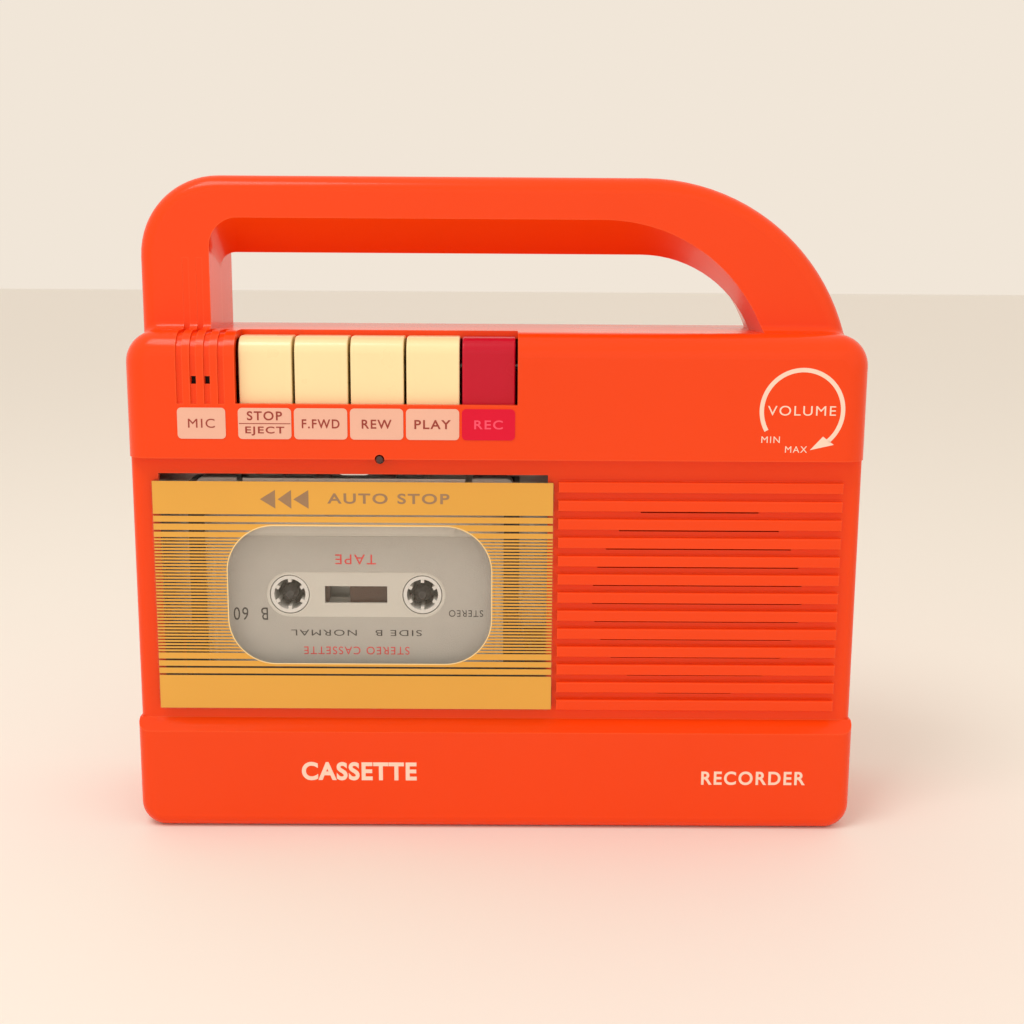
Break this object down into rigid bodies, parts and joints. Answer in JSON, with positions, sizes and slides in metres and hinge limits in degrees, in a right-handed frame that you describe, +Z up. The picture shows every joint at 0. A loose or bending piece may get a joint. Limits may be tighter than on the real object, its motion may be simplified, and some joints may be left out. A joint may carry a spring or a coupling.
{
  "type": "portable cassette recorder",
  "caption": "Portable orange cassette recorder with a carrying handle, front piano keys, a printed clear door with a cassette behind it and a ribbed speaker grille.",
  "frame": {"origin": "centre of the base on the table", "axes": "+X to the right of someone facing the front, +Y to the rear, +Z up"},
  "size_m": [0.23, 0.0626, 0.2072],
  "materials": {
    "case_plastic": "glossy orange-red",
    "key_cream": "cream",
    "key_red": "crimson",
    "label_print": "pale pink",
    "lens_clear": "clear with gold print",
    "cassette_shell": "cream",
    "paper": "paper",
    "tape": "brown tape",
    "metal_plain": "plain steel",
    "metal_dark": "blackened",
    "brass": "brass",
    "black_plastic": "black",
    "rubber_black": "belt and roller",
    "board_green": "circuit board",
    "white_plastic": "white"
  },
  "bodies": {
    "case": {"front_housing": "case_plastic", "rear_housing": "case_plastic", "case_screws": "metal_plain", "control_labels": "label_print", "record_label": "key_red", "record_lamp": "metal_dark", "microphone": "black_plastic", "key_shaft": "metal_plain", "key_springs": "metal_plain", "door_hinge_pins": "metal_plain", "deck_plate": "metal_plain", "deck_screws": "metal_plain", "deck_pins": "metal_plain", "capstan_bush": "brass", "flywheel_bracket": "metal_plain", "motor_bracket": "metal_plain", "drive_motor": "metal_dark", "drive_belt": "rubber_black", "speaker_basket": "metal_dark", "speaker_cone": "black_plastic", "speaker_magnet": "metal_dark", "volume_control": "metal_plain", "circuit_board": "board_green", "circuit_capacitors": "black_plastic", "amplifier_chip": "black_plastic", "record_switch": "white_plastic", "audio_jacks": "black_plastic", "power_jack": "black_plastic", "batteries": "metal_dark", "battery_contacts": "metal_plain"},
    "door": {"door_lens": "lens_clear", "cassette_holder": "black_plastic", "cassette_front_shell": "cassette_shell", "cassette_rear_shell": "cassette_shell", "cassette_label": "paper", "cassette_screws": "metal_plain"},
    "left_reel": {"left_hub": "white_plastic", "left_tape_pack": "tape"},
    "right_reel": {"right_hub": "white_plastic", "right_tape_pack": "tape"},
    "stop_eject": {"stop_eject_key": "key_cream"},
    "fast_forward": {"fast_forward_key": "key_cream"},
    "rewind": {"rewind_key": "key_cream"},
    "play": {"play_key": "key_cream"},
    "record": {"record_key": "key_red"},
    "carriage": {"head_carriage": "metal_plain", "record_play_head": "metal_plain", "erase_head": "black_plastic", "pinch_roller_pin": "metal_plain"},
    "pinch": {"pinch_roller": "rubber_black"},
    "takeup": {"takeup_spindle": "black_plastic", "takeup_wheel": "rubber_black"},
    "supply": {"supply_spindle": "black_plastic", "supply_brake_wheel": "white_plastic"},
    "flywheel_unit": {"flywheel": "metal_dark", "capstan": "metal_plain"},
    "idler": {"idler_wheel": "rubber_black"},
    "motor_rotor": {"motor_pulley": "brass"},
    "volume": {"volume_wheel": "black_plastic"},
    "cover": {"battery_cover": "case_plastic"}
  },
  "joints": [
    {"name": "stop_eject_press", "type": "hinge", "parent": "case", "child": "stop_eject", "pos_m": [-0.07143, -0.004, 0.148], "axis": [1, 0, 0], "range_deg": [0, 11.5], "stiffness_Nm_per_rad": 0.3, "springref_deg": -17.19},
    {"name": "fast_forward_press", "type": "hinge", "parent": "case", "child": "fast_forward", "pos_m": [-0.05423, -0.004, 0.148], "axis": [1, 0, 0], "range_deg": [0, 11.5], "stiffness_Nm_per_rad": 0.3, "springref_deg": -17.19},
    {"name": "rewind_press", "type": "hinge", "parent": "case", "child": "rewind", "pos_m": [-0.03703, -0.004, 0.148], "axis": [1, 0, 0], "range_deg": [0, 11.5], "stiffness_Nm_per_rad": 0.3, "springref_deg": -17.19},
    {"name": "play_press", "type": "hinge", "parent": "case", "child": "play", "pos_m": [-0.01982, -0.004, 0.148], "axis": [1, 0, 0], "range_deg": [0, 11.5]},
    {"name": "record_press", "type": "hinge", "parent": "case", "child": "record", "pos_m": [-0.00263, -0.004, 0.148], "axis": [1, 0, 0], "range_deg": [0, 11.5], "stiffness_Nm_per_rad": 0.3, "springref_deg": -17.19},
    {"name": "door_hinge", "type": "hinge", "parent": "case", "child": "door", "pos_m": [-0.045, -0.0215, 0.036], "axis": [1, 0, 0], "range_deg": [0, 28]},
    {"name": "carriage_slide", "type": "slide", "parent": "case", "child": "carriage", "axis": [0, 0, -1], "range_m": [0, 0.0048], "stiffness_N_per_m": 500, "springref_m": -0.0077},
    {"name": "pinch_roller_spin", "type": "hinge", "parent": "carriage", "child": "pinch", "pos_m": [-0.075, -0.0185, 0.1204], "axis": [0, 1, 0], "continuous": true},
    {"name": "flywheel_spin", "type": "hinge", "parent": "case", "child": "flywheel_unit", "pos_m": [-0.075, -0.003, 0.1087], "axis": [0, 1, 0], "continuous": true},
    {"name": "motor_spin", "type": "hinge", "parent": "case", "child": "motor_rotor", "pos_m": [-0.013, -0.003, 0.1087], "axis": [0, 1, 0], "continuous": true},
    {"name": "idler_spin", "type": "hinge", "parent": "case", "child": "idler", "pos_m": [-0.07153, -0.0077, 0.09573], "axis": [0, 1, 0], "continuous": true},
    {"name": "takeup_spin", "type": "hinge", "parent": "case", "child": "takeup", "pos_m": [-0.06625, -0.0092, 0.076], "axis": [0, 1, 0], "continuous": true},
    {"name": "supply_spin", "type": "hinge", "parent": "case", "child": "supply", "pos_m": [-0.02375, -0.0092, 0.076], "axis": [0, 1, 0], "continuous": true},
    {"name": "left_reel_spin", "type": "hinge", "parent": "door", "child": "left_reel", "pos_m": [-0.06625, -0.0185, 0.076], "axis": [0, 1, 0], "continuous": true},
    {"name": "right_reel_spin", "type": "hinge", "parent": "door", "child": "right_reel", "pos_m": [-0.02375, -0.0185, 0.076], "axis": [0, 1, 0], "continuous": true},
    {"name": "volume_turn", "type": "hinge", "parent": "case", "child": "volume", "pos_m": [0.0945, -0.016, 0.136], "axis": [0, 1, 0], "range_deg": [0, 300]},
    {"name": "battery_cover_slide", "type": "slide", "parent": "case", "child": "cover", "axis": [0, 1, 0], "range_m": [0, 0.04]}
  ],
  "couplings": [
    {"joint": "play_press", "follows": "carriage_slide", "rad_per_m": 41.81},
    {"joint": "motor_spin", "follows": "flywheel_spin", "ratio": 5.9863},
    {"joint": "idler_spin", "follows": "flywheel_spin", "ratio": -0.59487},
    {"joint": "takeup_spin", "follows": "flywheel_spin", "ratio": 0.41667},
    {"joint": "left_reel_spin", "follows": "flywheel_spin", "ratio": 0.41667},
    {"joint": "supply_spin", "follows": "flywheel_spin", "ratio": 0.22163},
    {"joint": "right_reel_spin", "follows": "flywheel_spin", "ratio": 0.22163}
  ]
}
